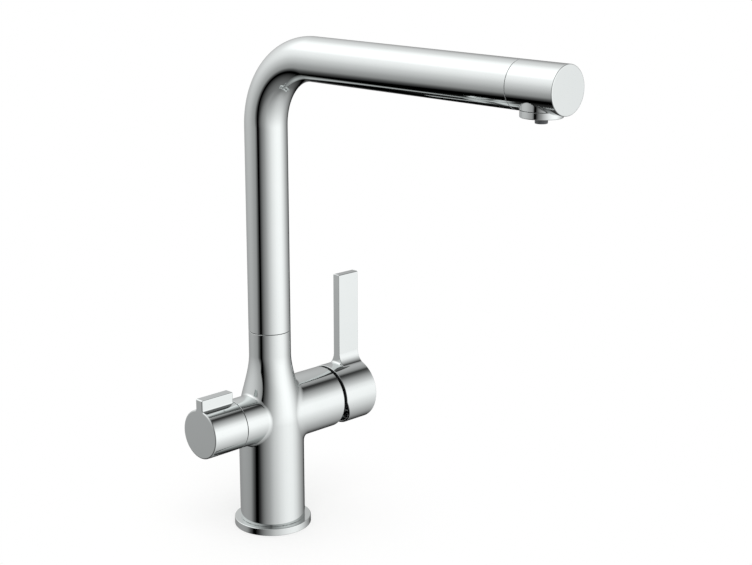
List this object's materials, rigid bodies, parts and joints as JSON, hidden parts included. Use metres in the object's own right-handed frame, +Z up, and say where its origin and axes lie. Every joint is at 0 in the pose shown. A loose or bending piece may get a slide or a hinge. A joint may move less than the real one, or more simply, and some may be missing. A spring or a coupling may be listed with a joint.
{
  "type": "kitchen sink tap",
  "caption": "Deck mounted kitchen tap with a swivelling L-shaped spout, a side lever for mixed water, a side knob for filtered water and separate waterways to one outlet.",
  "frame": {"origin": "centre of the underside of the base ring, on the deck", "axes": "+Z up, the spout points to -Y towards the user, the mixer lever arm to +X and the filtered water knob to -X"},
  "size_m": [0.1401, 0.271, 0.3342],
  "materials": {
    "polished_chrome_plate": "mirror polished chrome plate on brass",
    "machined_brass": "machined brass",
    "stainless_steel": "machined stainless steel",
    "black_acetal": "moulded black acetal",
    "grey_acetal": "moulded dark grey acetal",
    "white_polymer": "moulded and extruded natural white polymer",
    "lapped_ceramic": "lapped alumina ceramic",
    "black_rubber": "moulded black rubber"
  },
  "bodies": {
    "body": {"base_ring": "polished_chrome_plate", "deck_seal": "black_rubber", "tap_body": "polished_chrome_plate", "filtered_water_riser": "machined_brass", "spout_stop_screw": "stainless_steel", "lower_spout_bush": "white_polymer", "upper_spout_bush": "black_acetal", "cartridge_gasket": "black_rubber", "cartridge_housing": "white_polymer", "fixed_ceramic_disc": "lapped_ceramic", "cartridge_nut": "machined_brass", "cartridge_cover": "black_acetal", "filter_valve_seal": "black_rubber", "filter_valve_body": "machined_brass", "filter_fixed_disc": "lapped_ceramic"},
    "spout": {"spout_tube": "polished_chrome_plate", "spout_tail": "machined_brass", "lower_spout_ring": "black_rubber", "upper_spout_ring": "black_rubber", "outlet_head": "polished_chrome_plate", "outlet_head_ring": "black_rubber", "filtered_water_tube": "white_polymer", "aerator_housing": "polished_chrome_plate", "aerator_ring": "black_rubber", "aerator_insert": "grey_acetal", "filtered_water_nozzle": "grey_acetal"},
    "mixer_swivel": {"cartridge_swivel": "grey_acetal", "lever_pivot_pin": "stainless_steel"},
    "mixer_disc": {"moving_ceramic_disc": "lapped_ceramic", "disc_carrier": "grey_acetal"},
    "lever": {"mixer_stem": "stainless_steel", "mixer_lever": "polished_chrome_plate", "lever_screw": "stainless_steel", "lever_plug": "grey_acetal"},
    "knob": {"filter_moving_disc": "lapped_ceramic", "filter_spindle": "machined_brass", "filter_knob": "polished_chrome_plate", "knob_screw": "stainless_steel"}
  },
  "joints": [
    {"name": "spout_swivel", "type": "hinge", "parent": "body", "child": "spout", "pos_m": [0, 0, 0.137], "axis": [0, 0, 1], "range_deg": [-75, 75]},
    {"name": "mixer_temperature", "type": "hinge", "parent": "body", "child": "mixer_swivel", "pos_m": [0.046, 0, 0.0785], "axis": [1, 0, 0], "range_deg": [-45, 45]},
    {"name": "mixer_flow", "type": "hinge", "parent": "mixer_swivel", "child": "lever", "pos_m": [0.046, 0, 0.0785], "axis": [0, 1, 0], "range_deg": [0, 24]},
    {"name": "mixer_disc_slide", "type": "slide", "parent": "mixer_swivel", "child": "mixer_disc", "axis": [0, 0, 1], "range_m": [0, 0.0042]},
    {"name": "filter_turn", "type": "hinge", "parent": "body", "child": "knob", "pos_m": [-0.047, 0, 0.0785], "axis": [1, 0, 0], "range_deg": [0, 90]}
  ],
  "couplings": [
    {"joint": "mixer_disc_slide", "follows": "mixer_flow", "m_per_rad": 0.0099}
  ]
}
